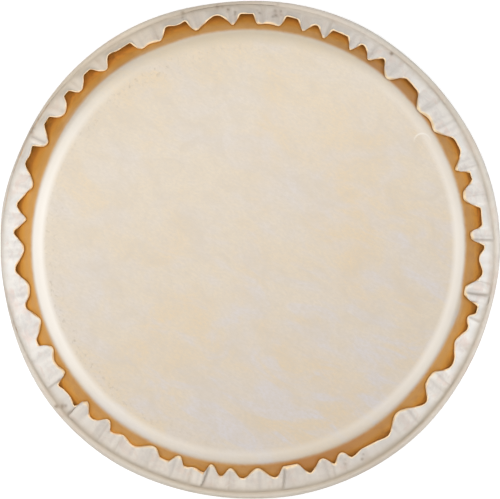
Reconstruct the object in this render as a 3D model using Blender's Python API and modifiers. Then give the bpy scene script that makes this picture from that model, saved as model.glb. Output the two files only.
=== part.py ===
"""Loose head of a small bongo drum: one rawhide tucked wet round a steel flesh hoop and dried there.

Metres, +Z up towards the batter face. The origin is on the axis, level with the foot of the wrapped hoop,
and angles run round the head from +X. Every profile below follows the middle of the hide's thickness.
"""

import math

import bmesh
import bpy

# Driving dimensions of the hide
SHOULDER_DIAMETER = 0.1768  # where batter face and collar would meet in a sharp corner
COLLAR_RUN = 0.0128  # how far outside that corner the middle of the hoop's rod lies
HEAD_HEIGHT = 0.019  # from the foot of the wrap to the batter face
SHOULDER_RADIUS = 0.006  # bend over the bearing edge of the shell
HIDE_THICKNESS = 0.0009
LAND_WIDTH = 0.001  # flat ring on top of the wrap, pressed by the rim of the drum
LAND_CORNER_RADIUS = 0.001  # bend from the outside of the wrap to the land
FOOT_WIDTH = 0.001  # flat ring under the wrap, on which the loose head stands

# Driving dimensions of the ruffled flap
FLAP_HEIGHT = 0.011  # from the foot of the wrap to the trimmed edge, in the notches between the lobes
LEAN_END = 0.0029  # how far outside the shoulder's corner a lobe with a lean of 1 ends
LOBE_GAP = 0.0003  # between a lobe that lies on the collar and the collar
FLAP_LAY = 0.0026  # how far the flap lies in over the hoop before it stands up
FLAP_LAY_RISE = 0.0014  # how far it rises on that way

# Driving dimensions of the flesh hoop
ROD_DIAMETER = 0.0032
ROD_GAP = 0.0003  # between the rod and the hide that grips it
BEAD_DIAMETER = 0.0024  # flash of the butt weld, left only on the side that the hide doesn't touch
BEAD_RISE = 0.0005  # how far the flash stands out of the rod
BEAD_ANGLE = 270.0  # where the weld is, round the head
BEAD_LEAN = 135.0  # the flash's place round the rod: inwards and up

# Steps of the facets
COLUMNS = 72
COLUMNS_OF_FLAP = 360
SHOULDER_STEPS = 4
WRAP_STEPS = 4
LAND_CORNER_STEPS = 2
FLAP_ROWS = 3
ROD_SIDES = 12
BEAD_SIDES = 12

# The trimmed edge at each notch and lobe: degrees round the head, and its lean there, which is 0 above
# the root of the flap and 1 beside the shoulder
LEAN_BY_ANGLE = (
    (0, 0.48), (3, 0.95), (6, 0.53), (10, 0.48), (13, 1.03), (18, 0.58), (20, 1.01), (25, 0.59),
    (28, 0.60), (32, 1.08), (35, 0.99), (39, 1.10), (43, 0.70), (47, 0.66), (50, 1.10), (54, 0.61),
    (58, 0.94), (61, 0.58), (63, 0.96), (65, 0.57), (69, 0.58), (71, 0.93), (73, 0.60), (76, 0.91),
    (78, 0.55), (80, 0.52), (82, 0.90), (87, 0.90), (89, 0.54), (92, 0.56), (94, 0.91), (98, 0.52),
    (103, 0.91), (106, 0.50), (111, 0.48), (113, 0.86), (118, 0.84), (120, 0.43), (126, 0.36), (129, 0.76),
    (132, 0.34), (134, 0.36), (137, 0.72), (139, 0.36), (141, 0.38), (144, 0.78), (147, 0.34), (149, 0.35),
    (152, 0.81), (154, 0.76), (156, 0.35), (160, 0.37), (164, 0.86), (169, 0.48), (173, 0.87), (176, 0.49),
    (180, 0.87), (185, 0.53), (190, 0.94), (195, 0.66), (199, 1.03), (203, 0.62), (205, 0.63), (207, 1.03),
    (211, 0.84), (214, 0.97), (216, 0.48), (219, 0.57), (222, 0.46), (224, 0.92), (227, 0.61), (231, 0.97),
    (233, 0.68), (236, 0.80), (240, 0.71), (244, 1.02), (247, 0.74), (249, 0.74), (252, 1.06), (254, 0.75),
    (258, 0.70), (260, 1.04), (263, 0.69), (265, 0.98), (268, 0.65), (272, 1.00), (277, 0.62), (279, 0.98),
    (282, 0.99), (285, 0.54), (289, 0.90), (292, 0.58), (294, 0.86), (296, 0.53), (300, 0.64), (306, 0.53),
    (312, 0.97), (319, 0.48), (322, 0.93), (325, 0.96), (330, 0.51), (336, 0.80), (340, 0.56), (342, 0.71),
    (344, 0.46), (346, 0.46), (348, 1.02), (350, 1.00), (354, 0.50), (357, 0.68),
)

# Sizes that follow from them
HALF_HIDE = HIDE_THICKNESS / 2
WRAP_RADIUS = ROD_DIAMETER / 2 + ROD_GAP + HALF_HIDE
HOOP_RADIUS = SHOULDER_DIAMETER / 2 + COLLAR_RUN
HOOP_HEIGHT = WRAP_RADIUS + HALF_HIDE
LAND_HEIGHT = HOOP_HEIGHT + WRAP_RADIUS
SHOULDER_HEIGHT = HEAD_HEIGHT - HALF_HIDE
ROOT_RADIUS = HOOP_RADIUS + WRAP_RADIUS - LAND_CORNER_RADIUS - LAND_WIDTH
FLAP_REACH = ROOT_RADIUS - SHOULDER_DIAMETER / 2 - LEAN_END
COLLAR_DROP = SHOULDER_HEIGHT - HOOP_HEIGHT
COLLAR_REACH = math.hypot(COLLAR_RUN, COLLAR_DROP)
COLLAR_SLOPE = math.atan2(COLLAR_DROP, COLLAR_RUN) + math.asin(WRAP_RADIUS / COLLAR_REACH)


def arc(centre_radius, centre_height, radius, start, end, steps):
    """Points along an arc in the plane of the profile, both ends included. Angles are in radians."""
    angles = [start + (end - start) * i / steps for i in range(steps + 1)]
    return [(centre_radius + radius * math.cos(a), centre_height + radius * math.sin(a)) for a in angles]


def turned_profile():
    """The round part of the hide, from the flat batter face to the land, as (radius, height) points."""
    up, down, outwards = math.pi / 2, -math.pi / 2, 0.0
    flat_radius = SHOULDER_DIAMETER / 2 - SHOULDER_RADIUS * math.tan(COLLAR_SLOPE / 2)
    bend_height = SHOULDER_HEIGHT - SHOULDER_RADIUS
    shoulder = arc(flat_radius, bend_height, SHOULDER_RADIUS, up, up - COLLAR_SLOPE, SHOULDER_STEPS)

    wrap_centre = (HOOP_RADIUS, HOOP_HEIGHT, WRAP_RADIUS)
    half_foot = math.asin(FOOT_WIDTH / 2 / WRAP_RADIUS)
    inner_wrap = arc(*wrap_centre, down - COLLAR_SLOPE, down - half_foot, WRAP_STEPS)
    outer_wrap = arc(*wrap_centre, down + half_foot, outwards, WRAP_STEPS)
    inner_wrap[-1] = (HOOP_RADIUS - FOOT_WIDTH / 2, HALF_HIDE)
    outer_wrap[0] = (HOOP_RADIUS + FOOT_WIDTH / 2, HALF_HIDE)

    corner_radius = HOOP_RADIUS + WRAP_RADIUS - LAND_CORNER_RADIUS
    corner_height = LAND_HEIGHT - LAND_CORNER_RADIUS
    land_corner = arc(corner_radius, corner_height, LAND_CORNER_RADIUS, outwards, up, LAND_CORNER_STEPS)
    return shoulder + inner_wrap + outer_wrap + land_corner


def lean_at(angle):
    """The lean of the trimmed edge at an angle in degrees: eased from each notch or lobe to the next."""
    first, last = LEAN_BY_ANGLE[0], LEAN_BY_ANGLE[-1]
    closed = ((last[0] - 360, last[1]), *LEAN_BY_ANGLE, (first[0] + 360, first[1]))
    for (start, lean), (end, next_lean) in zip(closed, closed[1:]):
        if angle <= end:
            ease = (1 - math.cos(math.pi * (angle - start) / (end - start))) / 2
            return lean + (next_lean - lean) * ease
    return last[1]


def edge_point(angle):
    """The trimmed edge at an angle in degrees, as (radius, height). A lobe on the collar rides up on it."""
    radius = ROOT_RADIUS - FLAP_REACH * lean_at(angle)
    collar_height = SHOULDER_HEIGHT - (radius - SHOULDER_DIAMETER / 2) * math.tan(COLLAR_SLOPE)
    on_collar = collar_height + (HIDE_THICKNESS + LOBE_GAP) / math.cos(COLLAR_SLOPE)
    return radius, max(FLAP_HEIGHT - HALF_HIDE, on_collar)


def flap_point(angle, share):
    """A point of the flap at a share of its way from root to edge: it lies in first and then stands up."""
    edge_radius, edge_height = edge_point(angle)
    bend_radius, bend_height = ROOT_RADIUS - FLAP_LAY, LAND_HEIGHT + FLAP_LAY_RISE
    root_part, bend_part, edge_part = (1 - share) ** 2, 2 * share * (1 - share), share**2
    radius = ROOT_RADIUS * root_part + bend_radius * bend_part + edge_radius * edge_part
    height = LAND_HEIGHT * root_part + bend_height * bend_part + edge_height * edge_part
    return radius, height


def ring(bm, points):
    """Vertices of one ring, at equal angles from +X, from one (radius, height) point for each column."""
    step = 2 * math.pi / len(points)
    places = [(r * math.cos(i * step), r * math.sin(i * step), z) for i, (r, z) in enumerate(points)]
    return [bm.verts.new(place) for place in places]


def skin(bm, inner, outer):
    """Faces between two rings, where one has as many vertices as the other or a whole number of times more.

    Where the counts differ, each face spans one step of the coarse ring and every fine step beside it.
    """
    columns = min(len(inner), len(outer))
    inner_step, outer_step = len(inner) // columns, len(outer) // columns
    for i in range(columns):
        near = [inner[(i * inner_step + k) % len(inner)] for k in range(inner_step + 1)]
        far = [outer[(i * outer_step + k) % len(outer)] for k in range(outer_step + 1)]
        bm.faces.new(far + near[::-1])


def material(name, colour, roughness, metallic=0.0):
    """A Principled material with a plain linear colour."""
    made = bpy.data.materials.new(name)
    made.use_nodes = True
    shader = made.node_tree.nodes["Principled BSDF"]
    shader.inputs["Base Color"].default_value = (*colour, 1.0)
    shader.inputs["Roughness"].default_value = roughness
    shader.inputs["Metallic"].default_value = metallic
    return made


def new_collection(name):
    """A collection linked to the scene."""
    made = bpy.data.collections.new(name)
    bpy.context.scene.collection.children.link(made)
    return made


def named(made, name, collection):
    """Gives a new object its name and puts it in its collection alone."""
    made.name = name
    for owner in list(made.users_collection):
        owner.objects.unlink(made)
    collection.objects.link(made)
    return made


def make_hide(collection):
    """The hide: a loft from the round batter face to the ruffled edge, with the hide's thickness."""
    bm = bmesh.new()
    rings = [ring(bm, [point] * COLUMNS) for point in turned_profile()]
    angles = [360 * i / COLUMNS_OF_FLAP for i in range(COLUMNS_OF_FLAP)]
    for row in range(FLAP_ROWS + 1):
        rings.append(ring(bm, [flap_point(angle, row / FLAP_ROWS) for angle in angles]))
    bm.faces.new(rings[0])
    for inner, outer in zip(rings, rings[1:]):
        skin(bm, inner, outer)
    mesh = bpy.data.meshes.new("hide")
    bm.to_mesh(mesh)
    bm.free()
    mesh.materials.append(material("rawhide", (0.72, 0.63, 0.49), 0.55))
    mesh.shade_smooth()
    mesh.set_sharp_from_angle(angle=math.radians(40))
    hide = named(bpy.data.objects.new("hide", mesh), "hide", collection)
    shell = hide.modifiers.new("thickness", "SOLIDIFY")
    shell.thickness = HIDE_THICKNESS
    shell.offset = 0.0
    shell.use_even_offset = True


def make_weld_bead(collection):
    """The flash of the hoop's butt weld: a ball sunk into the rod, on the side away from the hide."""
    round_head, round_rod = math.radians(BEAD_ANGLE), math.radians(BEAD_LEAN)
    sunk = ROD_DIAMETER / 2 + BEAD_RISE - BEAD_DIAMETER / 2
    radius = HOOP_RADIUS + sunk * math.cos(round_rod)
    height = HOOP_HEIGHT + sunk * math.sin(round_rod)
    bpy.ops.mesh.primitive_uv_sphere_add(
        segments=BEAD_SIDES, ring_count=BEAD_SIDES // 2, radius=BEAD_DIAMETER / 2,
        location=(radius * math.cos(round_head), radius * math.sin(round_head), height))
    bead = named(bpy.context.object, "weld_bead", collection)
    bead.hide_render = True
    bead.display_type = "WIRE"
    return bead


def make_flesh_hoop(collection, bead):
    """The flesh hoop: a rod bent to a ring inside the wrap and butt-welded."""
    bpy.ops.mesh.primitive_torus_add(
        major_radius=HOOP_RADIUS, minor_radius=ROD_DIAMETER / 2, major_segments=COLUMNS,
        minor_segments=ROD_SIDES, location=(0, 0, HOOP_HEIGHT))
    hoop = named(bpy.context.object, "flesh_hoop", collection)
    hoop.data.materials.append(material("mild steel", (0.42, 0.41, 0.40), 0.35, metallic=1.0))
    hoop.data.shade_smooth()
    weld = hoop.modifiers.new("weld", "BOOLEAN")
    weld.operation = "UNION"
    weld.solver = "EXACT"
    weld.object = bead


for leftover in list(bpy.data.objects):
    bpy.data.objects.remove(leftover)
head_pieces = new_collection("bongo_head")
shaping_pieces = new_collection("shaping")
make_hide(head_pieces)
make_flesh_hoop(head_pieces, make_weld_bead(shaping_pieces))
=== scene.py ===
"""Looks of the loose bongo head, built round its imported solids.

Lengths are millimetres until a mesh is made. Angles run round the head from +X, in degrees.
"""

import math

import bpy
import mathutils
import numpy as np
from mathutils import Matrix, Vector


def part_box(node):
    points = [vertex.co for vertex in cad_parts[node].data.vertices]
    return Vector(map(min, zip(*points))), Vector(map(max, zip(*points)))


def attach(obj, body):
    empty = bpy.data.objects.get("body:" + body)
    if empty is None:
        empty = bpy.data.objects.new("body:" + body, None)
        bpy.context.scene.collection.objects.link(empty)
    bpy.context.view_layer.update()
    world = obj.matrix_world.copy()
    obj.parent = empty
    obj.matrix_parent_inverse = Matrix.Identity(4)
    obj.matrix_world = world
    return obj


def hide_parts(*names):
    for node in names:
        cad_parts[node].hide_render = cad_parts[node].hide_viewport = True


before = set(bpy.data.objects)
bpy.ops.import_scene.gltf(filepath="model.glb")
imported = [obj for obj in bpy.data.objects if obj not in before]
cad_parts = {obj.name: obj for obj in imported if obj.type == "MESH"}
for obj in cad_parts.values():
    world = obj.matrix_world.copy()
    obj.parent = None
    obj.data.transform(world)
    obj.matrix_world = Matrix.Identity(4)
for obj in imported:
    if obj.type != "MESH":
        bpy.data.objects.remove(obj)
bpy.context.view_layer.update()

# Flesh hoop
# A rod of bright drawn mild steel, rolled to a ring and butt-welded. The wet hide was tucked round it from
# below and grips it, so the rod shows only to someone who looks in between collar and flap.
MM = 0.001
ROD_DIAMETER = 3.2
BEAD_RISE = 0.5  # of the weld's flash, on the side that the hide doesn't touch
BEAD_HALF_LENGTH = 1.1
BEAD_ANGLE = 270.0  # round the head
BEAD_LEAN = 135.0  # round the rod: inwards and up
COLUMNS = 1152  # round the head, one every 0.57 mm at its outside
ROD_SIDES = 20
HOOP_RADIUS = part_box("flesh_hoop")[1].x / MM - ROD_DIAMETER / 2
HOOP_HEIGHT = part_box("flesh_hoop")[0].z / MM + ROD_DIAMETER / 2

# How far the hoop is out of round: degrees round the head, and mm outwards
OUT_OF_ROUND = (
    (0, 0.5), (10, 0.5), (25, 0.2), (35, -0.25), (50, -0.25), (62, 0.25), (80, -0.1), (92, -0.6), (99, -0.6),
    (110, 0.05), (121, 0.5), (130, 0.45), (140, 0.15), (158, -0.5), (170, -0.2), (181, -1.2), (190, -1.2),
    (200, -0.75), (210, 0.0), (221, 0.6), (235, 0.6), (250, -0.15), (261, -0.5), (270, -0.5), (281, 0.05),
    (310, 0.25), (330, -0.5), (345, -0.5), (355, 0.2),
)
SLOW_BLUR = 3.0  # degrees
DEGREES = np.arange(COLUMNS) * 360 / COLUMNS


def round_the_head(points, blur, held=0.0):
    """A smooth curve through (degrees, value) points, closed round the circle and read at every column.

    It is a cubic between each two points. Its slope at a point is zero at a peak or a dip, which is held for
    some degrees on both sides, and otherwise the harmonic mean of the slopes of the lines before and after,
    so the curve never runs past a point. It is then averaged with a bell curve whose standard deviation is
    the blur, in degrees.
    """
    shared = 3  # points repeated past each end, to close the circle
    places, values = np.array(points, float).T
    places = np.concatenate([places[-shared:] - 360, places, places[:shared] + 360])
    values = np.concatenate([values[-shared:], values, values[:shared]])
    if held:
        turns = np.flatnonzero(np.diff(values)[:-1] * np.diff(values)[1:] <= 0) + 1
        values = np.insert(values, turns, values[turns])
        at_left = turns + np.arange(len(turns))
        places = np.insert(places, turns, places[turns] - held)
        places[at_left + 1] += held
    rises = np.diff(values) / np.diff(places)
    goes_on = rises[:-1] * rises[1:] > 0
    slopes = np.zeros(len(values))
    slopes[1:-1][goes_on] = (2 * rises[:-1] * rises[1:])[goes_on] / (rises[:-1] + rises[1:])[goes_on]
    after = np.searchsorted(places, DEGREES, side="right")
    step = places[after] - places[after - 1]
    way = (DEGREES - places[after - 1]) / step
    value_part = values[after - 1] * (1 + 2 * way) * (1 - way) ** 2 + values[after] * way**2 * (3 - 2 * way)
    slope_part = slopes[after - 1] * way * (1 - way) ** 2 - slopes[after] * way**2 * (1 - way)
    cycles = np.fft.rfftfreq(COLUMNS, 360 / COLUMNS)
    bell = np.exp(-2 * (math.pi * cycles * blur) ** 2)
    return np.fft.irfft(np.fft.rfft(value_part + step * slope_part) * bell, COLUMNS)


def hex_colour(text):
    """A colour written as sRGB hex, in linear light by the standard's own curve, and with full alpha."""
    shares = np.array([int(text[i : i + 2], 16) / 255 for i in (0, 2, 4)])
    linear = np.where(shares <= 0.04045, shares / 12.92, ((shares + 0.055) / 1.055) ** 2.4)
    return (*linear.tolist(), 1.0)


def add_node(tree, kind, inputs, **settings):
    """Adds a node. Settings are its own choices. Inputs gives its sockets values or other nodes' outputs.

    A colour Mix takes its factor at socket 0 and its two colours at 6 and 7, and gives the mix at output 2.
    """
    node = tree.nodes.new(kind)
    for name, value in settings.items():
        setattr(node, name, value)
    for socket, value in inputs.items():
        if isinstance(value, bpy.types.NodeSocket):
            tree.links.new(value, node.inputs[socket])
        else:
            node.inputs[socket].default_value = value
    return node


def new_material(name):
    """A material with an empty Principled shader, as (material, its node tree, the shader)."""
    material = bpy.data.materials.new(name)
    material.use_nodes = True
    return material, material.node_tree, material.node_tree.nodes["Principled BSDF"]


def closed_rings(name, rings, closed_section, material):
    """A smooth mesh from rings of points, rings x columns x 3 in mm, each ring joined to the next.

    A closed section joins its last ring to its first. Otherwise the first and last ring each shrink to one
    point, which closes the piece.
    """
    count, columns = rings.shape[:2]
    ring = np.arange(count if closed_section else count - 1)[:, None]
    column = np.arange(columns)[None, :]
    here, there = ring * columns, (ring + 1) % count * columns
    right = (column + 1) % columns
    quads = np.stack([here + column, there + column, there + right, here + right], axis=-1).reshape(-1, 4)
    points, faces = rings.reshape(-1, 3) * MM, quads.tolist()
    if not closed_section:
        ends = np.array([rings[0].mean(0), rings[-1].mean(0)]) * MM
        last = (count - 1) * columns
        around, onward = np.arange(columns), (np.arange(columns) + 1) % columns
        top = np.full(columns, len(points))
        faces += np.stack([top, around, onward], axis=-1).tolist()
        faces += np.stack([top + 1, last + onward, last + around], axis=-1).tolist()
        points = np.concatenate([points, ends])
    mesh = bpy.data.meshes.new(name)
    mesh.from_pydata(points, [], faces)
    mesh.materials.append(material)
    mesh.shade_smooth()
    piece = bpy.data.objects.new(name, mesh)
    bpy.context.scene.collection.objects.link(piece)
    return piece


# The lines that the drawing die left: pattern cells along the rod and round it, and their depth in mm
DIE_LINES = (40, 60, 1)
DIE_LINE_DEPTH = 0.05
DIE_LINE_BUMP = 0.4
STEEL_ROUGHNESS = (0.24, 0.46)  # between the lines, and in them
# The spots that damp left: their size in mm, and the range of the noise over which they come up
DAMP_SPOT = 4.5
DAMP_RANGE = (0.58, 0.72)


def drawn_steel():
    """Bright drawn steel. The die leaves fine lines along the rod, and the damp hide a few dull spots."""
    steel, tree, shader = new_material("drawn_mild_steel")
    along = add_node(tree, "ShaderNodeUVMap", {}, uv_map="rod")
    lines = add_node(tree, "ShaderNodeMapping", {"Vector": along.outputs[0], "Scale": DIE_LINES})
    drawn = add_node(tree, "ShaderNodeTexNoise", {"Vector": lines.outputs[0], "Scale": 1.0, "Detail": 3.0})
    place = add_node(tree, "ShaderNodeTexCoord", {})
    damp = add_node(
        tree, "ShaderNodeTexNoise",
        {"Vector": place.outputs["Object"], "Scale": 1 / (DAMP_SPOT * MM), "Detail": 4.0})
    spots = add_node(
        tree, "ShaderNodeMapRange",
        {"Value": damp.outputs[0], "From Min": DAMP_RANGE[0], "From Max": DAMP_RANGE[1]})
    colour = add_node(
        tree, "ShaderNodeMix", {0: spots.outputs[0], 6: hex_colour("B4B2AE"), 7: hex_colour("7D6A58")},
        data_type="RGBA")
    rough = add_node(
        tree, "ShaderNodeMapRange",
        {"Value": drawn.outputs[0], "To Min": STEEL_ROUGHNESS[0], "To Max": STEEL_ROUGHNESS[1]})
    bump = add_node(
        tree, "ShaderNodeBump",
        {"Height": drawn.outputs[0], "Strength": DIE_LINE_BUMP, "Distance": DIE_LINE_DEPTH * MM})
    tree.links.new(colour.outputs[2], shader.inputs["Base Color"])
    tree.links.new(rough.outputs[0], shader.inputs["Roughness"])
    tree.links.new(bump.outputs[0], shader.inputs["Normal"])
    shader.inputs["Metallic"].default_value = 1.0
    return steel


def rod_rings():
    """The rod as rings round the head, about a centre line that follows the hoop out of round.

    Its section is a circle. At the weld it is swollen by a bell curve along the rod and a cosine round it.
    """
    lean = np.radians(np.arange(ROD_SIDES) * 360 / ROD_SIDES)[:, None]
    round_head = np.radians(DEGREES)[None, :]
    centre = HOOP_RADIUS + round_the_head(OUT_OF_ROUND, SLOW_BLUR)[None, :]
    along = np.radians(DEGREES - BEAD_ANGLE)[None, :] * HOOP_RADIUS / BEAD_HALF_LENGTH
    facing = np.clip(np.cos(lean - math.radians(BEAD_LEAN)), 0, 1)
    swell = ROD_DIAMETER / 2 + BEAD_RISE * np.exp(-(along**2)) * facing
    radius = centre + swell * np.cos(lean)
    height = HOOP_HEIGHT + swell * np.sin(lean)
    return np.stack([radius * np.cos(round_head), radius * np.sin(round_head), height], axis=-1)[::-1]


flesh_hoop = closed_rings("steel_flesh_hoop", rod_rings(), True, drawn_steel())
rod_map = flesh_hoop.data.uv_layers.new(name="rod")
corner_vertex = np.zeros(len(flesh_hoop.data.loops), int)
flesh_hoop.data.loops.foreach_get("vertex_index", corner_vertex)
rod_places = np.stack([corner_vertex % COLUMNS / COLUMNS, corner_vertex // COLUMNS / ROD_SIDES], axis=-1)
rod_map.data.foreach_set("uv", rod_places.ravel())
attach(flesh_hoop, "root")
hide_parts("flesh_hoop")

# Hide
# One disc of rawhide, grain side up, stretched wet over a former of the shell's size. Its margin goes down
# the collar, under the hoop and out round it, and stands up again as a flap whose flesh side shows. The flap
# gathered in pleats as it dried and was trimmed with shears, well below the batter face.
HIDE_THICKNESS = 0.9
HALF_HIDE = HIDE_THICKNESS / 2
SHOULDER_RADIUS = 6.0
SHOULDER_CORNER = 88.4  # radius where batter face and collar would meet in a sharp corner
LAND_CORNER_RADIUS = 1.0
LAND_WIDTH = 1.0
FLAP_HEIGHT = 11.0
LOBE_GAP = 0.3  # between the collar and a lobe that would touch it
LEAN_END = 2.9  # how far outside the shoulder's corner a lobe with a lean of 1 ends
FLAP_LAY = 2.6  # how far the flap lies in over the hoop before it stands up
FLAP_LAY_RISE = 1.4
OUTSIDE_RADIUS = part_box("hide")[1].x / MM
SHOULDER_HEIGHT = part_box("hide")[1].z / MM - HALF_HIDE
WRAP_RADIUS = OUTSIDE_RADIUS - HALF_HIDE - HOOP_RADIUS
LAND_HEIGHT = HOOP_HEIGHT + WRAP_RADIUS
ROOT_RADIUS = HOOP_RADIUS + WRAP_RADIUS - LAND_CORNER_RADIUS - LAND_WIDTH
FLAP_REACH = ROOT_RADIUS - SHOULDER_CORNER - LEAN_END
COLLAR_RUN = HOOP_RADIUS - SHOULDER_CORNER
COLLAR_DROP = SHOULDER_HEIGHT - HOOP_HEIGHT
# The collar is the straight line from the shoulder's corner that touches the wrap's circle on its inner side
COLLAR_SLOPE = math.atan2(COLLAR_DROP, COLLAR_RUN)
COLLAR_SLOPE += math.asin(WRAP_RADIUS / math.hypot(COLLAR_RUN, COLLAR_DROP))

# The trimmed edge, read in enlarged strips of the photograph: degrees round the middle of the head's
# outline there, and pixels from it. The five up to 6 degrees and the three near 19 were set beside a render.
EDGE_IN_PICTURE = (
    (0.7, 235.5), (1.5, 233.7), (2.3, 224), (4.2, 223), (5.8, 234), (8.5, 234.5), (10.2, 235.3),
    (10.7, 233), (12.3, 223.5), (13.5, 221.5), (15.2, 223), (17.8, 234), (19.1, 234), (20.3, 225.5),
    (20.9, 222.3), (22.5, 226), (24.3, 231.5), (25.5, 233.2), (27.5, 233.2), (29, 231.5), (30, 227.5),
    (31.5, 223), (32.8, 220.8), (35.7, 223.2), (39.5, 220.2), (41.5, 225), (43, 230.5), (44, 231),
    (47, 232), (48.5, 229), (49.5, 223.5), (51, 220.8), (53.2, 226), (54, 232), (54.6, 233.3), (56, 229.5),
    (57.8, 225), (59, 229.5), (61, 234.2), (62, 229), (63.1, 224.5), (64.2, 230), (65.2, 234.5),
    (69, 234.5), (69.5, 231), (70.4, 225), (72.2, 231.5), (73, 234), (74.5, 231), (76.1, 226),
    (77.2, 231.5), (77.8, 235.2), (80.8, 236), (81.4, 230), (82.2, 226.2), (85.2, 227), (88, 226.3),
    (88.7, 235.5), (91.8, 235.5), (92.5, 233.5), (94, 226), (95.5, 230.5), (98, 236), (100, 232.8),
    (102, 228), (103.5, 226), (104.6, 229), (105.5, 236.5), (107.5, 235), (110.3, 237.3), (111.3, 233.5),
    (113, 227.3), (116, 228.3), (117.8, 227.5), (119, 230), (119.9, 238), (123, 237.8), (125.5, 239.8),
    (127, 235), (128.4, 229.3), (130, 233), (131.5, 240), (133.2, 240), (134.5, 235.5), (136.7, 230.3),
    (138, 236.5), (138.7, 240), (140.3, 240), (141, 234.5), (142, 230.5), (143.7, 228.7), (145.3, 231.5),
    (146.5, 239.8), (148.2, 239.8), (149.5, 236), (151, 229.5), (151.9, 227.5), (153.3, 228.3),
    (154.4, 239.8), (156.5, 238.2), (158.5, 239.2), (159.3, 238.8), (160.5, 234), (161.5, 228.5),
    (163.7, 225.8), (165.5, 228.5), (167.5, 233), (169, 235.5), (170.5, 231.5), (171.5, 226.5),
    (172.3, 225.3), (174, 229), (175.8, 234.8), (177, 231.5), (178, 227.5), (179.6, 225.2), (182, 227.5),
    (183.5, 231.5), (185, 233.5), (186.5, 230.5), (188, 225), (189.8, 223), (192, 225), (194.3, 230),
    (196, 226.5), (197.5, 222), (198.8, 220.3), (200, 222), (202, 227), (203.3, 230.8), (204.4, 230.8),
    (205, 227.5), (205.7, 221.5), (206.8, 220), (208.5, 222.5), (210.3, 225), (213.7, 221.3),
    (215.4, 234.3), (217, 232.5), (219, 231.5), (220.5, 232.5), (222, 234.7), (223, 222.3), (224.5, 224.5),
    (226, 229.5), (226.9, 230.3), (228.5, 228), (229.5, 223.5), (230.6, 221.2), (231.8, 223),
    (232.8, 228.3), (236, 225.2), (239.5, 227.5), (241, 225.8), (242.5, 221.5), (244.3, 219.3),
    (246, 222.5), (247.3, 226.5), (249, 226.5), (250, 222.5), (251.5, 218.2), (252.5, 221), (253.5, 226.6),
    (256, 225.4), (258.5, 227.4), (259.2, 223), (260.1, 218.8), (261.2, 221), (263, 228), (264.3, 223),
    (265.3, 220.3), (266.5, 223), (268.3, 228.8), (271, 222), (272.3, 219.8), (274, 223), (275.5, 227.5),
    (276.7, 229.3), (278, 225.5), (279.2, 220.3), (282.5, 220.3), (283.5, 222.5), (284.5, 229),
    (285.4, 231.8), (287.3, 227), (289, 222.4), (290.5, 225), (291.9, 230.8), (293, 226), (294.5, 223.6),
    (295.5, 226), (296.4, 232.2), (300, 229.2), (304, 229.8), (306.5, 232), (308, 230), (309.5, 225.5),
    (312.2, 221.2), (315, 224.5), (317, 229.5), (319.2, 233.5), (320.5, 231), (321.5, 226), (322.8, 222.5),
    (325.5, 221.7), (327, 223.5), (328.5, 229.5), (330.4, 233.2), (332.5, 231.5), (334, 228),
    (336.2, 226.2), (338, 228), (340.3, 232.2), (342.7, 228.5), (344.5, 235.5), (346.3, 235.5),
    (348, 220.5), (350, 220.5), (351, 223), (352.5, 230), (354.3, 234.3), (356.3, 231.5), (357.9, 229.8),
)
# The camera that looks at the head as the photograph does, in metres
CAMERA_DISTANCE = 1.1
CAMERA_TILT = math.radians(3.77)  # from straight above
AIM = (0.0006, -0.00045, 0.0028)
FRAME_WIDTH = 0.2077  # what the picture's width spans at the aim
PICTURE_WIDTH = 500  # pixels
OUTLINE_MIDDLE = (-1.3, 0.0)  # in pixels from the picture's middle, to the right and up
CUT_RISE = 0.2  # mm that the visible cut stands above the middle of the hide
ROUNDS = 8  # of bringing a point to where it was read
# Beside the photograph the notches came out too shallow, so every lean below the first of these is lowered,
# by a step that grows to the second over a span of leans. In the lower half that was too much, so part of it
# is given back there.
SHALLOW_BELOW = 0.88
DEEPER = 0.055
DEEPER_SPAN = 0.2
LOWER_HALF = (186, 302)  # degrees
GIVEN_BACK = 0.03
GIVEN_BACK_BELOW = 0.85
EDGE_HELD = 0.3  # degrees on both sides of a lobe's tip or a notch, which rounds them
EDGE_BLUR = 0.25  # degrees

# The crease that the drum's rim pressed in where the flap leaves the hoop: degrees, and radius
PRESSED_LINE = (
    (0, 102.0), (10, 101.6), (50, 101.5), (70, 101.7), (90, 101.8), (118, 101.8), (125, 102.1), (150, 102.6),
    (165, 102.5), (190, 102.4), (195, 101.9), (215, 101.8), (222, 102.1), (230, 101.9), (238, 101.5),
    (250, 101.0), (275, 101.0), (282, 101.4), (290, 101.7), (310, 101.7), (322, 101.5), (340, 101.4),
    (346, 101.7), (357, 102.1),
)
LINE_BLUR = 1.5  # degrees
# How strongly the crease shows, in its depth and in its dirt and painted shade: degrees, and a share
PRESSED_DEPTH = (
    (0, 0.8), (30, 0.9), (50, 0.9), (60, 0.5), (82, 0.5), (92, 1.0), (108, 1.0), (118, 0.8), (150, 0.8),
    (165, 0.65), (188, 0.65), (196, 0.8), (215, 1.1), (230, 1.1), (262, 1.2), (285, 1.1), (305, 1.4),
    (325, 1.3), (350, 0.9),
)
PRESSED_IN = 0.18  # mm
LINE_INSIDE = 1.1  # mm over which the crease fades towards the flap
LINE_OUTSIDE = 0.7  # and towards the outside
DIRT_AND_SHADE_SPREAD = 2.3  # mm over which the dirt and painted shade beside the crease fade

# Where the dense amber of the collar begins: degrees, and radius
AMBER_START = (
    (0, 89.1), (30, 89.3), (60, 89.8), (90, 89.6), (112, 89.8), (122, 90.8), (130, 91.2), (140, 90.6),
    (150, 90.0), (160, 89.3), (180, 89.2), (210, 89.4), (240, 89.5), (270, 89.3), (300, 89.8), (320, 89.2),
    (337, 89.7), (343, 90.6), (345.5, 90.3), (347.5, 89.1), (353, 88.7),
)
AMBER_BLUR = 2.0  # degrees
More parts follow.
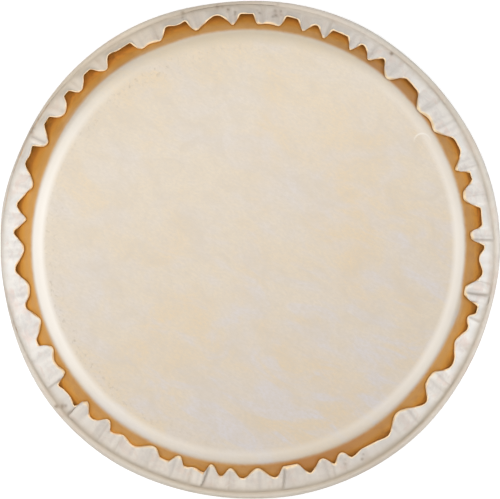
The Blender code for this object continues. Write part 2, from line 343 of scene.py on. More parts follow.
# Painted light and shade on the collar's amber round the head: degrees, and a share of painted light, or of
# painted shade where it is below zero
AMBER_PAINTED_LIGHT_AND_SHADE = (
    (0, 0.0), (20, 0.3), (35, -0.3), (50, -0.4), (65, 0.1), (80, 0.35), (95, 0.5), (110, 0.45), (125, 0.25),
    (140, 0.35), (157, 0.6), (172, 0.8), (187, 0.85), (202, 0.6), (217, 0.25), (235, 0.2), (255, 0.1),
    (272, -0.1), (285, -0.7), (298, -0.45), (315, 0.05), (337, 0.4), (350, 0.1),
)
# How tan the flap's flesh side is: degrees, and a share of tan
TANNED_FLAP = (
    (0, 0.0), (30, 0.05), (60, 0.15), (75, 0.35), (90, 0.4), (110, 0.45), (125, 0.5), (140, 0.45),
    (155, 0.2), (170, 0.05), (185, 0.0), (205, 0.0), (222, 0.25), (240, 0.25), (260, 0.3), (280, 0.3),
    (300, 0.2), (320, 0.1), (340, 0.0),
)
# The same for a share of grey
GREYED_FLAP = (
    (0, 0.05), (25, 0.0), (45, 0.05), (65, 0.3), (90, 0.4), (105, 0.3), (120, 0.0), (140, 0.0), (160, 0.0),
    (190, 0.0), (205, 0.0), (225, 0.25), (260, 0.15), (290, 0.35), (305, 0.4), (325, 0.0), (340, 0.0),
)
# How grey the wrap is made outside the crease: degrees, and a share
WRAP_GREY = (
    (0, 0.1), (15, 0.32), (60, 0.36), (75, 0.12), (90, 0.0), (105, 0.2), (125, 0.12), (150, 0.1), (170, 0.0),
    (195, 0.0), (225, 0.1), (240, 0.32), (275, 0.32), (300, 0.32), (315, 0.05), (330, 0.0), (345, 0.0),
)
# How white the shoulder is made: partly its fibres, stretched white by the former's bearing edge, and partly
# a painted highlight, strongest on the left and right where the side lights fall: degrees, and a share
WHITENED_AND_HIGHLIGHTED_SHOULDER = (
    (0, 0.9), (20, 0.6), (45, 0.3), (70, 0.05), (90, 0.0), (110, 0.05), (135, 0.4), (160, 0.9), (180, 1.2),
    (205, 1.1), (225, 0.7), (250, 0.5), (270, 0.4), (295, 0.5), (315, 0.8), (330, 1.0), (345, 0.9),
)
# How much the shoulder is darkened, most towards the top: degrees, and a share
DARKENED_SHOULDER = (
    (0, 0.0), (50, 0.2), (75, 0.8), (95, 1.0), (110, 0.8), (130, 0.2), (150, 0.0), (250, 0.0), (300, 0.2),
    (330, 0.1),
)
# Small dirt that gathered on the batter face just inside the shoulder: degrees, and a share
SPECKLED_FACE = (
    (0, 0.1), (60, 0.15), (95, 0.4), (112, 1.0), (132, 0.9), (150, 0.4), (178, 0.9), (205, 1.0), (232, 1.0),
    (250, 0.4), (290, 0.25), (330, 0.15),
)
# Stains on the flap: degrees, radius, and the stain's own radius in mm, and a share
STAINS = (
    (53.7, 100.6, 0.7, 1.4), (82.2, 99.6, 0.6, 0.8), (82.0, 97.8, 0.5, 0.6), (83.1, 102.4, 0.6, 0.5),
    (83.6, 99.4, 0.7, 0.8), (83.3, 97.1, 0.8, 1.0), (84.0, 96.3, 0.5, 0.9), (87.3, 97.6, 0.6, 0.9),
    (88.0, 98.9, 0.5, 0.5), (93.2, 98.2, 0.6, 0.9), (93.4, 96.9, 0.5, 0.6), (94.9, 99.8, 0.6, 1.3),
    (95.2, 98.6, 0.4, 0.6), (96.2, 101.3, 0.7, 0.7), (97.4, 101.5, 0.8, 1.0), (105.6, 101.8, 0.8, 1.0),
    (106.0, 99.9, 0.6, 0.6), (150.8, 102.5, 0.8, 0.7), (151.9, 102.3, 0.7, 0.8), (219.6, 102.7, 0.8, 1.3),
    (220.4, 101.0, 0.9, 1.0), (220.9, 99.7, 0.6, 0.7), (294.1, 97.6, 0.7, 0.5), (294.5, 95.9, 0.6, 0.4),
    (298.2, 98.9, 0.6, 0.8), (299.0, 97.4, 0.5, 0.6),
)
# Pleats that fold over themselves: degrees at the root, degrees that the fold line swings on its way to the
# edge, how far in mm the near side stands over the far side, and the degrees over which it falls back
PLEATS = (
    (222.8, 0.5, 1.7, 5.0), (258.3, 1.4, 1.2, -4.0), (278.0, 1.4, 0.9, 3.0), (348.9, -1.2, 0.9, -4.0),
    (20.1, 0.2, 0.4, 3.0), (69.4, 0.4, 0.35, -2.5), (152.8, 0.3, 0.4, 3.0), (325.6, 0.5, 0.4, 3.0),
    (342.0, 0.3, 0.4, -3.0), (351.2, 0.3, 0.4, -2.5), (214.9, 0.1, 0.5, -2.0), (232.1, -0.2, 0.35, 2.0),
    (290.9, 0.5, 0.3, 2.5), (1.9, 0.2, 0.8, 3.0), (12.8, 0.3, 0.35, 2.0), (313.8, 0.3, 0.3, -2.0),
    (251.0, 0.6, 0.3, 2.0),
)
FOLD_STEP = 0.06  # of a pleat's fall, over which the near side climbs
FOLD_SHADOW = 0.6  # mm, how wide a fold line shows
FOLD_SHIFT = 0.5  # of that width, by which it lies on the far side
LOBE_BULGE = 1.4  # mm that the flap stands out for each 1 of lean over the mean lean
LEAN_BLUR = 0.5  # degrees
MEAN_LEAN = 0.72
VALLEY_DEPTHS = (0.25, 0.9)  # mm
VALLEY_WIDTHS = (0.3, 0.8)  # degrees
VALLEY_OFFSET = 0.6  # degrees at most from the lobe's tip
# Wrinkles that run from root to edge: fewest and most round the head, and height in mm
WRINKLES = ((40, 90, 0.2), (90, 190, 0.16), (190, 400, 0.07))
RELIEF_SEED = 11
MOST_THINNED = 0.6  # mm
FREE_FROM = 0.35  # share of the way up from which the flap takes its full relief

FACE_RADII = (12, 25, 38, 50, 60, 68, 74, 78, 81, 83)
SHOULDER_ROWS = 11
COLLAR_ROWS = 7
WRAP_ROWS = 15
CORNER_ROWS = 4
LAND_ROWS = 5
FLAP_ROWS = 15
COLLAR_START = len(FACE_RADII) + SHOULDER_ROWS
WRAP_START = COLLAR_START + COLLAR_ROWS
CORNER_START = WRAP_START + WRAP_ROWS
LAND_START = CORNER_START + CORNER_ROWS
FLAP_START = LAND_START + LAND_ROWS
ALL_ROWS = FLAP_START + FLAP_ROWS


def trimmed_height(radius):
    """Height of the flap's middle at the trimmed edge: level, or up on the collar where the two meet."""
    collar_height = SHOULDER_HEIGHT - (radius - SHOULDER_CORNER) * math.tan(COLLAR_SLOPE)
    on_collar = collar_height + (HIDE_THICKNESS + LOBE_GAP) / math.cos(COLLAR_SLOPE)
    return np.maximum(FLAP_HEIGHT - HALF_HIDE, on_collar)


def in_picture(x, y, height):
    """Where points of the head lie in the picture, in pixels from the middle of the head's outline there.

    How far a point lies to the right of the camera's line of sight, and how far above it, are divided by its
    depth along that line and multiplied by the focal length in pixels.
    """
    right, back, above = x - AIM[0] / MM, y - AIM[1] / MM, height - AIM[2] / MM
    up = back * math.cos(CAMERA_TILT) + above * math.sin(CAMERA_TILT)
    depth = CAMERA_DISTANCE / MM + back * math.sin(CAMERA_TILT) - above * math.cos(CAMERA_TILT)
    focal_length = PICTURE_WIDTH * CAMERA_DISTANCE / FRAME_WIDTH
    return np.stack([right, up]) / depth * focal_length - np.array(OUTLINE_MIDDLE)[:, None]


def trimmed_edge():
    """The trimmed edge as (degrees, lean) points. Lean 0 is above the flap's root, 1 beside the shoulder.

    A point starts where the picture's scale puts it. It is then looked at through the camera, at the height
    that the edge has at its radius, and moved by what it misses, round after round. Both numbers are rounded
    to what the eye can tell apart in the photograph. The leans of the notches are lowered last.
    """
    angle, distance = np.array(EDGE_IN_PICTURE).T
    read = distance * np.stack([np.cos(np.radians(angle)), np.sin(np.radians(angle))])
    scale = FRAME_WIDTH / PICTURE_WIDTH / MM
    place = read * scale
    for _ in range(ROUNDS):
        missed = read - in_picture(*place, trimmed_height(np.hypot(*place)) + CUT_RISE)
        place = place + missed * scale
    angles = np.degrees(np.arctan2(place[1], place[0])) % 360
    leans = (ROOT_RADIUS - np.hypot(*place)) / FLAP_REACH
    points = []
    for degrees, lean in zip(angles.tolist(), leans.tolist()):
        degrees, lean = round(degrees, 1), round(lean, 2)
        if lean < SHALLOW_BELOW:
            lean = round(lean - DEEPER * min(1, (SHALLOW_BELOW - lean) / DEEPER_SPAN), 2)
        if LOWER_HALF[0] < degrees < LOWER_HALF[1] and lean < GIVEN_BACK_BELOW:
            lean = round(lean + GIVEN_BACK, 2)
        points.append((degrees, lean))
    return points


TRIMMED_EDGE = trimmed_edge()


def hide_rows():
    """The middle of the hide as (radius, height) grids, rows x columns, from the batter face to the edge.

    Turned part: the face is flat, the shoulder an arc, the collar the straight line that touches both bends,
    the wrap an arc about the hoop, then the land's corner and the land up to the pressed line. Flap: a
    quadratic curve from the pressed line, in over the hoop, to the trimmed edge.
    """
    flat = SHOULDER_CORNER - SHOULDER_RADIUS * math.tan(COLLAR_SLOPE / 2)
    bend = np.linspace(0, COLLAR_SLOPE, SHOULDER_ROWS)
    turn = np.linspace(-math.pi / 2 - COLLAR_SLOPE, 0, WRAP_ROWS)
    corner = np.linspace(0, math.pi / 2, CORNER_ROWS + 1)[1:]
    shoulder_r = flat + SHOULDER_RADIUS * np.sin(bend)
    shoulder_z = SHOULDER_HEIGHT - SHOULDER_RADIUS * (1 - np.cos(bend))
    wrap_r = HOOP_RADIUS + WRAP_RADIUS * np.cos(turn)
    wrap_z = HOOP_HEIGHT + WRAP_RADIUS * np.sin(turn)
    collar_r = np.linspace(shoulder_r[-1], wrap_r[0], COLLAR_ROWS + 2)[1:-1]
    collar_z = np.linspace(shoulder_z[-1], wrap_z[0], COLLAR_ROWS + 2)[1:-1]
    corner_r = HOOP_RADIUS + WRAP_RADIUS - LAND_CORNER_RADIUS * (1 - np.cos(corner))
    corner_z = LAND_HEIGHT - LAND_CORNER_RADIUS * (1 - np.sin(corner))
    face_z = np.full(len(FACE_RADII), SHOULDER_HEIGHT)
    radius = np.concatenate([FACE_RADII, shoulder_r, collar_r, wrap_r, corner_r])
    height = np.concatenate([face_z, shoulder_z, collar_z, wrap_z, corner_z])

    follow = np.clip((radius - shoulder_r[-1]) / (wrap_r[0] - shoulder_r[-1]), 0, 1)
    turned_r = radius[:, None] + follow[:, None] * round_the_head(OUT_OF_ROUND, SLOW_BLUR)
    turned_z = np.repeat(height[:, None], COLUMNS, axis=1)

    root = round_the_head(PRESSED_LINE, LINE_BLUR)
    land = np.linspace(0, 1, LAND_ROWS + 1)[1:, None]
    land_r = turned_r[-1] + (root - turned_r[-1]) * land
    land_z = np.full((LAND_ROWS, COLUMNS), LAND_HEIGHT)

    edge_r = ROOT_RADIUS - FLAP_REACH * round_the_head(TRIMMED_EDGE, EDGE_BLUR, EDGE_HELD)
    edge_z = trimmed_height(edge_r)
    share = np.linspace(0, 1, FLAP_ROWS + 1)[1:, None]
    near, middle, far = (1 - share) ** 2, 2 * share * (1 - share), share**2
    flap_r = near * root + middle * (root - FLAP_LAY) + far * edge_r
    flap_z = near * LAND_HEIGHT + middle * (LAND_HEIGHT + FLAP_LAY_RISE) + far * edge_z
    return np.concatenate([turned_r, land_r, flap_r]), np.concatenate([turned_z, land_z, flap_z])


def smooth_step(low, high, value):
    """0 below low, 1 above high, and an S-shaped rise between them."""
    share = np.clip((value - low) / (high - low), 0, 1)
    return share * share * (3 - 2 * share)


def random_round(random, low, high):
    """A random wave round the head, 1 at its highest, made of every whole number of cycles in a range."""
    cycles = np.arange(low, high)[:, None]
    phase = random.uniform(0, 2 * math.pi, (high - low, 1))
    weight = random.normal(0, 1, (high - low, 1))
    wave = (weight * np.cos(np.radians(DEGREES) * cycles + phase)).sum(0)
    return wave / np.abs(wave).max()


def turn_apart(degrees, centre):
    """Degrees from a centre, the short way round."""
    return (degrees - centre + 180) % 360 - 180


def flap_relief(share, rise):
    """How far the flap's flesh side stands out, in mm, rows x columns, by each row's share of the way up.

    A pleat is a ramp that drops at its fold line. A lobe bulges with its lean, and has a soft valley down
    its middle, a bell curve across. Wrinkles are random waves that change on their way from root to edge.
    """
    random = np.random.default_rng(RELIEF_SEED)
    relief = np.zeros((len(share), COLUMNS))
    for root, swing, step, fall in PLEATS:
        apart = turn_apart(DEGREES, root + swing * share) / fall
        relief += step * smooth_step(0, FOLD_STEP, apart) * (1 - np.clip(apart, 0, 1)) ** 2
    lean = round_the_head(TRIMMED_EDGE, LEAN_BLUR)
    relief += LOBE_BULGE * (lean - MEAN_LEAN)
    tips = DEGREES[(lean > np.roll(lean, 1)) & (lean > np.roll(lean, -1))]
    for tip in tips:
        depth, width = random.uniform(*VALLEY_DEPTHS), random.uniform(*VALLEY_WIDTHS)
        apart = turn_apart(DEGREES, tip + random.uniform(-VALLEY_OFFSET, VALLEY_OFFSET))
        relief -= depth * np.exp(-((apart / width) ** 2))
    for low, high, size in WRINKLES:
        at_root, at_edge = random_round(random, low, high), random_round(random, low, high)
        relief += size * (at_root * (1 - share) + at_edge * share)
    return np.maximum(relief * rise, -MOST_THINNED)


def painted_fold_shade(share, rise):
    """Painted shadow at the foot of each pleat, rows x columns: a bell curve across the fold line."""
    dark = np.zeros((len(share), COLUMNS))
    for root, swing, step, fall in PLEATS:
        off = np.radians(turn_apart(DEGREES, root + swing * share)) * ROOT_RADIUS / FOLD_SHADOW
        dark += step * np.exp(-((off * math.copysign(1, fall) + FOLD_SHIFT) ** 2))
    return dark * rise


# Slow waves of the batter face: mm along X and along Y in which each turns by a radian, and its phase
SWELL_WAVES = ((11, 17, 1), (23, -9, 2), (7, 29, 0))
SWELL_HEIGHT = 0.05
SWELL_FADES = (70, 83)  # radii between which they die away towards the shoulder


def face_swell(x, y):
    """Slow unevenness of the batter face, in mm: three plane waves, a few centimetres long."""
    wave = sum(np.sin(x / in_x + y / in_y + phase) for in_x, in_y, phase in SWELL_WAVES)
    return SWELL_HEIGHT * wave * (1 - smooth_step(*SWELL_FADES, np.hypot(x, y)))


radius, height = hide_rows()
round_head = np.radians(DEGREES)
x, y = radius * np.cos(round_head), radius * np.sin(round_head)
middle = np.stack([x, y, height + face_swell(x, y)], axis=-1)
across = np.gradient(middle, axis=0)
around = np.roll(middle, -1, axis=1) - np.roll(middle, 1, axis=1)
facing = np.cross(across, around)
facing /= np.linalg.norm(facing, axis=-1, keepdims=True)

share_up = np.arange(1, FLAP_ROWS + 1)[:, None] / FLAP_ROWS
stands_free = smooth_step(0, FREE_FROM, share_up)
outwards = np.zeros_like(radius)
outwards[FLAP_START:] = flap_relief(share_up, stands_free)
off_line = radius - radius[FLAP_START - 1]
pressed = round_the_head(PRESSED_DEPTH, SLOW_BLUR)
# The crease's profile sets its depth and where its dirt and painted shade lie; the wider bell beside it is
# dirt and painted shade as well
crease = pressed * np.exp(-((off_line / np.where(off_line > 0, LINE_OUTSIDE, LINE_INSIDE)) ** 2))
dirt_and_shade_beside_crease = pressed * np.exp(-((off_line / DIRT_AND_SHADE_SPREAD) ** 2))
crease[:CORNER_START] = 0
dirt_and_shade_beside_crease[:CORNER_START] = 0
outwards -= PRESSED_IN * crease

# The rows that each side needs: every second to fourth one where the hoop or the shell hides it
grain_rows = [*range(WRAP_START), *range(WRAP_START, CORNER_START, 3)]
grain_rows += [*range(CORNER_START + 1, FLAP_START, 3), *range(FLAP_START + 2, ALL_ROWS, 3)]
flesh_rows = [*range(0, len(FACE_RADII), 4), *range(len(FACE_RADII), WRAP_START, 3)]
flesh_rows += [*range(WRAP_START, CORNER_START, 2), *range(CORNER_START, ALL_ROWS)]
grain = (middle + HALF_HIDE * facing)[grain_rows]
flesh = (middle - (HALF_HIDE + outwards[..., None]) * facing)[flesh_rows]
up_flap = middle[-1] - middle[-2]
up_flap /= np.linalg.norm(up_flap, axis=-1, keepdims=True)
# The cut is slightly rounded: each row's share of the way to the flesh side, and how far it stands up in mm
CUT_ROWS = ((0.15, 0.08), (0.5, 0.12), (0.85, 0.08))
cut = [grain[-1] * (1 - way) + flesh[-1] * way + up_flap * stands for way, stands in CUT_ROWS]
rings = np.concatenate([grain, np.array(cut), flesh[::-1]])

# Patterns of the hide: size in mm, detail, distortion, how many times longer than wide, and the direction in
# which they run, in radians, then the range of the noise that shows them and how strong they get. The fibres
# are drawn several times as coarse as they are, because finer ones would be lost between the picture's dots.
PATTERNS = {
    "warm_clouds": (34.0, 10.0, 1.0, 1.5, -0.9, 0.44, 0.66, 0.55),
    "pale_clouds": (22.0, 10.0, 1.2, 1.6, -0.3, 0.46, 0.66, 0.65),
    "streaks": (10.0, 9.0, 1.4, 2.3, -0.4, 0.48, 0.61, 0.9),
    "wisps": (8.0, 6.0, 0.9, 1.5, -0.6, 0.46, 0.68, 0.5),
    "fibres": (0.9, 3.0, 0.3, 1.8, -0.5, 0.32, 0.68, 0.62),
    "mottles": (3.6, 4.0, 0.5, 1.0, -0.3, 0.48, 0.66, 0.6),
    "blushes": (7.0, 3.0, 0.8, 1.0, -1.3, 0.5, 0.66, 0.8),
    "specks": (1.6, 3.0, 0.3, 1.0, -0.5, 0.56, 0.72, 0.9),
}
PATTERN_ROUGHNESS = 0.58
HIDE_ROUGHNESS = 0.55
FIBRE_BUMP = 0.35
FIBRE_DEPTH = 0.2  # mm
# A pale half ring that something round rubbed into the face, in metres
RUB_CENTRE = (0.0713, 0.0428, 0.0190)
RUB_RADIUS = 0.0034
RUB_WIDTH = 0.0005


def rawhide():
    """Scraped rawhide, limed and dried.

    It is matt, cloudy cream on the grain side, glassy amber where it dried dense in the collar, chalky white
    on the flesh side, and cream where the shears cut it. Parts of the amber, shoulder and flap carry painted
    light and shade. Attributes of the mesh say where each layer lies.
    """
    hide, tree, shader = new_material("scraped_rawhide")
    place = add_node(tree, "ShaderNodeTexCoord", {}).outputs["Object"]
    shown = {None: 1.0}
    noise = {}
    for name, (size, detail, distortion, length, direction, low, high, most) in PATTERNS.items():
        lay = add_node(
            tree, "ShaderNodeMapping",
            {"Vector": place, "Rotation": (0, 0, direction), "Scale": (length, 1, 1)}, vector_type="TEXTURE")
        noise[name] = add_node(
            tree, "ShaderNodeTexNoise",
            {"Vector": lay.outputs[0], "Scale": 1 / (size * MM), "Detail": detail,
             "Roughness": PATTERN_ROUGHNESS, "Distortion": distortion})
        shown[name] = add_node(
            tree, "ShaderNodeMapRange",
            {"Value": noise[name].outputs[0], "From Min": low, "From Max": high, "To Max": most}).outputs[0]
    to_centre = add_node(tree, "ShaderNodeVectorMath", {0: place, 1: RUB_CENTRE}, operation="DISTANCE")
    off_ring = add_node(
        tree, "ShaderNodeMath", {0: to_centre.outputs["Value"], 1: RUB_RADIUS}, operation="SUBTRACT")
    off_ring = add_node(tree, "ShaderNodeMath", {0: off_ring.outputs[0]}, operation="ABSOLUTE").outputs[0]
    ring = add_node(
        tree, "ShaderNodeMapRange",
        {"Value": off_ring, "From Max": RUB_WIDTH, "To Min": 1.0, "To Max": 0.0}).outputs[0]
    height_up = add_node(tree, "ShaderNodeSeparateXYZ", {0: place}).outputs["Y"]
    upper_half = add_node(
        tree, "ShaderNodeMapRange",
        {"Value": height_up, "From Min": RUB_CENTRE[1] - RUB_WIDTH, "From Max": RUB_CENTRE[1] + RUB_RADIUS})
    shown["rub_mark"] = add_node(
        tree, "ShaderNodeMath", {0: ring, 1: upper_half.outputs[0]}, operation="MULTIPLY").outputs[0]
    # Some layers are painted light and shade, in part or in whole: the amber's light and shade round the
    # head, its brighter foot, the shoulder's highlight, the flap's whiter notches and greyer lobes, and the
    # shade in its creases, fold lines and pressed crease.
    # Each layer of colour, from the grain side's cream upwards: where it lies, its pattern, and its tint
    colour = hex_colour("DBCDB8")
    layers = (
        (None, "warm_clouds", "DFC59B"), (None, "pale_clouds", "D4CDC9"),
        ("lower_face", "streaks", "D2CED3"), (None, "wisps", "CEC0AC"), (None, "fibres", "CDC2B3"),
        ("speckled", "specks", "A99881"), ("stretched_and_painted_highlight", None, "EDE6DC"), ("shoulder_darkened", None, "CBBCA3"),
        (None, "rub_mark", "E9E2D8"), ("amber", None, "C08A42"), ("foot_amber_and_painted_light", None, "F7AE48"),
        ("amber", "mottles", "B57D40"), ("amber_painted_light", None, "F4B04A"), ("amber_painted_shade", None, "B06F2E"),
        ("flesh_side", None, "F6F1EA"), ("flesh_side", "blushes", "EEDCD2"),
        ("flesh_side", "mottles", "E1DBD7"), ("painted_light_on_notches", None, "FCFAF6"), ("tanned", None, "CFB48A"),
        ("grey_and_painted_shade", None, "B9B1AB"), ("painted_crease_shade", None, "8C7D6F"), ("wrap_grey", None, "96968C"),
        ("grimy_and_shaded", None, "B9AB98"), ("crease_dirt_and_shade", None, "9C8C76"), ("stained", "specks", "6E5C4C"),
        ("stained", None, "9C8B79"), ("cut_edge", None, "F0D9B2"),
    )
    for where, pattern, tint in layers:
        amount = shown[pattern]
        if where:
            lies = add_node(tree, "ShaderNodeAttribute", {}, attribute_name=where).outputs["Fac"]
            amount = add_node(tree, "ShaderNodeMath", {0: lies, 1: amount}, operation="MULTIPLY").outputs[0]
        mix = add_node(tree, "ShaderNodeMix", {0: amount, 6: colour, 7: hex_colour(tint)}, data_type="RGBA")
        colour = mix.outputs[2]
    # The lower face is a little darker and cooler all over
    lower = add_node(tree, "ShaderNodeAttribute", {}, attribute_name="lower_face").outputs["Fac"]
    colour = add_node(
        tree, "ShaderNodeMix", {0: lower, 6: colour, 7: hex_colour("EAE8E6")},
        data_type="RGBA", blend_type="MULTIPLY").outputs[2]
    tree.links.new(colour, shader.inputs["Base Color"])
    shader.inputs["Roughness"].default_value = HIDE_ROUGHNESS
    bump = add_node(
        tree, "ShaderNodeBump",
        {"Height": noise["fibres"].outputs[0], "Strength": FIBRE_BUMP, "Distance": FIBRE_DEPTH * MM})
    tree.links.new(bump.outputs[0], shader.inputs["Normal"])
    return hide


hide = closed_rings("rawhide_head", rings, False, rawhide())


def add_attribute(piece, name, value):
    """Stores one number for each vertex of a piece. The two end points get their own ring's first one."""
    stored = piece.data.attributes.new(name, "FLOAT", "POINT")
    with_ends = np.append(value.ravel(), [value[0, 0], value[-1, 0]])
    stored.data.foreach_set("value", with_ends.astype(np.float32))


def on_flesh(rows):
    """A value for every row of the hide, rows x columns, as one for every ring: zero on the grain side."""
    value = np.zeros(rings.shape[:2])
    value[-len(flesh_rows) :] = rows[flesh_rows][::-1]
    return value


def stains(points):
    """How stained each point is: the sum of the stains' bell curves over the distance seen from above."""
    dirt = np.zeros(points.shape[:2])
    for degrees, place, size, share in STAINS:
        spot = place * np.array([math.cos(math.radians(degrees)), math.sin(math.radians(degrees))])
        off = points[..., :2] - spot
        dirt += share * np.exp(-(off**2).sum(-1) / size**2)
    return dirt


side = on_flesh(np.ones_like(radius))
true_radius = np.hypot(rings[..., 0], rings[..., 1])

# Grain side. Each range is two radii between which a layer comes up or goes.
SHOULDER_RISE, SHOULDER_FALL = (82.5, 85.5), (87.5, 89.5)
INSIDE_RIM_RISE, INSIDE_RIM_FALL = (76, 81), (83, 85)
# The amber turns a deeper, brighter orange towards the collar's foot: partly its own deeper colour, partly
# painted light that offsets the shade under the flap
FOOT_AMBER_AND_LIGHT_RISE = (91.5, 98.0)
# The amber's painted light grows from the shoulder towards the collar's foot, to offset the shade under the
# flap
PAINTED_LIGHT_RISE = (91.0, 95.0)
LEAST_PAINTED_LIGHT = 0.5  # its share at the shoulder
AMBER_HALF_RISE = 0.9
FAINT_FROM = WRAP_START + 3  # the ring from which the grain side's amber is faint: the wrap's outer side
FAINT_AMBER = 0.3  # its share there
SPECKLED_MOST = 0.5
DARKENED_MOST = 0.7
grain_side = 1 - side
shoulder = smooth_step(*SHOULDER_RISE, true_radius) * (1 - smooth_step(*SHOULDER_FALL, true_radius))
shoulder *= grain_side
inside_rim = smooth_step(*INSIDE_RIM_RISE, true_radius) * (1 - smooth_step(*INSIDE_RIM_FALL, true_radius))
inside_rim *= grain_side
past_start = true_radius - round_the_head(AMBER_START, AMBER_BLUR)
amber = smooth_step(-AMBER_HALF_RISE, AMBER_HALF_RISE, past_start) * grain_side
amber[FAINT_FROM : len(grain)] *= FAINT_AMBER
# Painted light and shade on the amber, round the head
glow_and_painted_light = round_the_head(AMBER_PAINTED_LIGHT_AND_SHADE, SLOW_BLUR)
painted_light_outwards = LEAST_PAINTED_LIGHT + (1 - LEAST_PAINTED_LIGHT) * smooth_step(*PAINTED_LIGHT_RISE, true_radius)
# The lower face: a slope along the direction in which it lies, in mm from the middle
LOWER_DIRECTION = (0.4, -0.92)
LOWER_REACH = 85
LOWER_AT_CENTRE = 0.35
lower = (rings[..., :2] @ np.array(LOWER_DIRECTION)) / LOWER_REACH
lower_face = np.clip(LOWER_AT_CENTRE + (1 - LOWER_AT_CENTRE) * lower, 0, 1)

# Flesh side. Tan and grey come up with the radius, and farther in on what stands higher than the rod.
SHOWN_RISE = (99, 101)
SHOWN_HEIGHT = 4
SHOWN_FARTHER_IN = 20
WRAP_RISE = (-0.2, 0.6)  # mm outside the crease
# Painted shade in creases: dark along the foot of each fold line, and darker for each mm of hollow in the
# flap's relief
SHADE_BY_FOLD = 0.8
SHADE_BY_HOLLOW = 0.25  # for each mm
CREASE_SHADE_MOST = 0.8
GREY_AND_SHADE_MOST = 0.9
GRIMY_AND_SHADED_MOST = 0.55
CREASE_DIRT_AND_SHADE_MOST = 0.45
CUT_BELOW = 0.35  # how cream the flesh side is next to the cut
cut_edge = np.zeros(rings.shape[:2])
cut_edge[len(grain) : len(grain) + len(CUT_ROWS)] = 1
cut_edge[len(grain) + len(CUT_ROWS)] = CUT_BELOW
farther_in = SHOWN_FARTHER_IN * (rings[..., 2] > SHOWN_HEIGHT)
outside = side * smooth_step(*SHOWN_RISE, true_radius + farther_in)
fold_line_shade = np.zeros_like(radius)
fold_line_shade[FLAP_START:] = painted_fold_shade(share_up, stands_free)
hollows = outwards + PRESSED_IN * crease
# Up the flap, the lobes are painted greyer and the short stretches between them whiter: painted shade and
# painted light for how the pleats meet the lamps. Both run in random streaks.
LOBE_BLUR = 0.6  # degrees
LOBE_RISE = (0.1, 0.7)  # shares of the way up
LOBE_SHADE_SHARE = 0.6
NOTCH_LIGHT_SHARE = 4.5
STREAK_SEED = 5
STREAK_CYCLES = (70, 240)
STREAK_GREY = 0.4
MOST_LOBE_SHADE = 0.7
MOST_NOTCH_LIGHT = 0.9
streaks = random_round(np.random.default_rng(STREAK_SEED), *STREAK_CYCLES) * share_up
lobes = (round_the_head(TRIMMED_EDGE, LOBE_BLUR) - MEAN_LEAN) * smooth_step(*LOBE_RISE, share_up)
lobe_painted_shade, notch_painted_light = np.zeros_like(radius), np.zeros_like(radius)
lobe_painted_shade[FLAP_START:] = np.clip(LOBE_SHADE_SHARE * lobes + STREAK_GREY * streaks, 0, MOST_LOBE_SHADE)
notch_painted_light[FLAP_START:] = np.clip(-NOTCH_LIGHT_SHARE * lobes - STREAK_GREY * streaks, 0, MOST_NOTCH_LIGHT)
# The flap's grey round the head, together with the lobes' painted shade
grey_and_painted_shade = outside * round_the_head(GREYED_FLAP, SLOW_BLUR) + on_flesh(lobe_painted_shade)

# Painted light and shade among these, in part or in whole: on the amber, at its foot, on the shoulder, on
# the notches and lobes, and in the creases, fold lines and pressed crease
where_layers_lie = {
    "lower_face": lower_face * (1 - amber) * grain_side,
    "speckled": SPECKLED_MOST * inside_rim * round_the_head(SPECKLED_FACE, SLOW_BLUR),
    "stretched_and_painted_highlight": shoulder * round_the_head(WHITENED_AND_HIGHLIGHTED_SHOULDER, SLOW_BLUR),
    "shoulder_darkened": DARKENED_MOST * shoulder * round_the_head(DARKENED_SHOULDER, SLOW_BLUR),
    "amber": amber,
    "foot_amber_and_painted_light": amber * smooth_step(*FOOT_AMBER_AND_LIGHT_RISE, true_radius),
    "amber_painted_light": amber * np.clip(glow_and_painted_light, 0, 1) * painted_light_outwards,
    "amber_painted_shade": amber * np.clip(-glow_and_painted_light, 0, 1),
    "flesh_side": side,
    "tanned": outside * round_the_head(TANNED_FLAP, SLOW_BLUR),
    "painted_light_on_notches": on_flesh(notch_painted_light),
    "grey_and_painted_shade": np.clip(grey_and_painted_shade, 0, GREY_AND_SHADE_MOST),
    "painted_crease_shade": on_flesh(np.clip(SHADE_BY_FOLD * fold_line_shade - SHADE_BY_HOLLOW * hollows, 0, CREASE_SHADE_MOST)),
    "wrap_grey": on_flesh(smooth_step(*WRAP_RISE, off_line)) * round_the_head(WRAP_GREY, SLOW_BLUR),
    "grimy_and_shaded": GRIMY_AND_SHADED_MOST * on_flesh(dirt_and_shade_beside_crease),
    "crease_dirt_and_shade": CREASE_DIRT_AND_SHADE_MOST * on_flesh(crease),
    "stained": np.clip(stains(rings) * side, 0, 1),
    "cut_edge": cut_edge,
}
for name, value in where_layers_lie.items():
    add_attribute(hide, name, value)
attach(hide, "root")
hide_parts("hide")

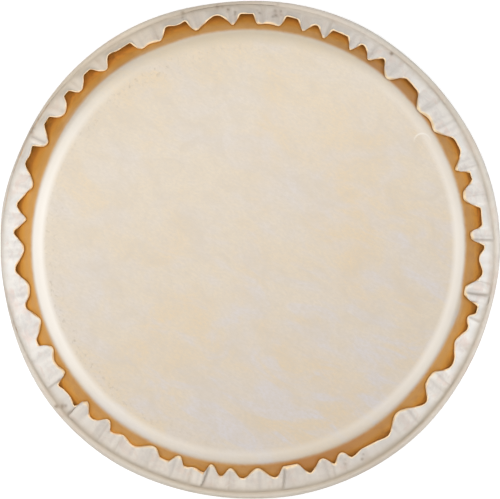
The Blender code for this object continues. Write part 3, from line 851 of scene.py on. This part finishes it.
# Setting
# A white table top, two softboxes left and right, one overhead, and the camera almost straight above.
TABLE_WIDTH = 3.0  # metres
TABLE_ROUGHNESS = 0.9
SEEN_GLOW = 0.3  # brings the table top to full white where the camera or a gloss sees it
bpy.ops.mesh.primitive_plane_add(size=TABLE_WIDTH)
table_top = bpy.context.object
table_top.name = "table_top"
table_white, tree, shader = new_material("white_table_top")
shader.inputs["Base Color"].default_value = hex_colour("EDEDED")
shader.inputs["Roughness"].default_value = TABLE_ROUGHNESS
shader.inputs["Specular IOR Level"].default_value = 0.0
shader.inputs["Emission Color"].default_value = (1, 1, 1, 1)
ray = add_node(tree, "ShaderNodeLightPath", {}).outputs
seen = ray["Is Camera Ray"]
for kind in ("Is Glossy Ray", "Is Transmission Ray"):
    seen = add_node(tree, "ShaderNodeMath", {0: seen, 1: ray[kind]}, operation="MAXIMUM").outputs[0]
glow_and_painted_light = add_node(tree, "ShaderNodeMath", {0: seen, 1: SEEN_GLOW}, operation="MULTIPLY")
tree.links.new(glow_and_painted_light.outputs[0], shader.inputs["Emission Strength"])
table_top.data.materials.append(table_white)

WORLD_LIGHT = 0.29
studio = bpy.data.worlds.new("studio")
bpy.context.scene.world = studio
studio.use_nodes = True
studio.node_tree.nodes["Background"].inputs["Color"].default_value = (1, 1, 1, 1)
studio.node_tree.nodes["Background"].inputs["Strength"].default_value = WORLD_LIGHT

# Each softbox: its place and width in metres, and its power in watts
SOFTBOXES = {
    "softbox_left": ((-0.85, 0.0, 0.95), 0.8, 4.2),
    "softbox_right": ((0.85, 0.0, 0.95), 0.8, 3.6),
    "softbox_overhead": ((0.0, -0.15, 1.3), 0.6, 9.3),
}
for name, (place, width, power) in SOFTBOXES.items():
    lamp_data = bpy.data.lights.new(name, "AREA")
    lamp_data.energy = power
    lamp_data.size = width
    lamp = bpy.data.objects.new(name, lamp_data)
    lamp.location = place
    lamp.rotation_mode = "QUATERNION"
    lamp.rotation_quaternion = (-mathutils.Vector(place)).to_track_quat("-Z", "Y")
    bpy.context.scene.collection.objects.link(lamp)

# The camera, at the place from which the trimmed edge was read
SENSOR_WIDTH = 36.0  # mm
camera_data = bpy.data.cameras.new("camera")
camera_data.sensor_width = SENSOR_WIDTH
camera_data.lens = SENSOR_WIDTH * CAMERA_DISTANCE / FRAME_WIDTH
camera = bpy.data.objects.new("camera", camera_data)
back_off = mathutils.Vector((0.0, -math.sin(CAMERA_TILT), math.cos(CAMERA_TILT))) * CAMERA_DISTANCE
camera.location = mathutils.Vector(AIM) + back_off
camera.rotation_euler = (CAMERA_TILT, 0, 0)
bpy.context.scene.collection.objects.link(camera)
bpy.context.scene.camera = camera
bpy.context.scene.view_settings.view_transform = "Standard"
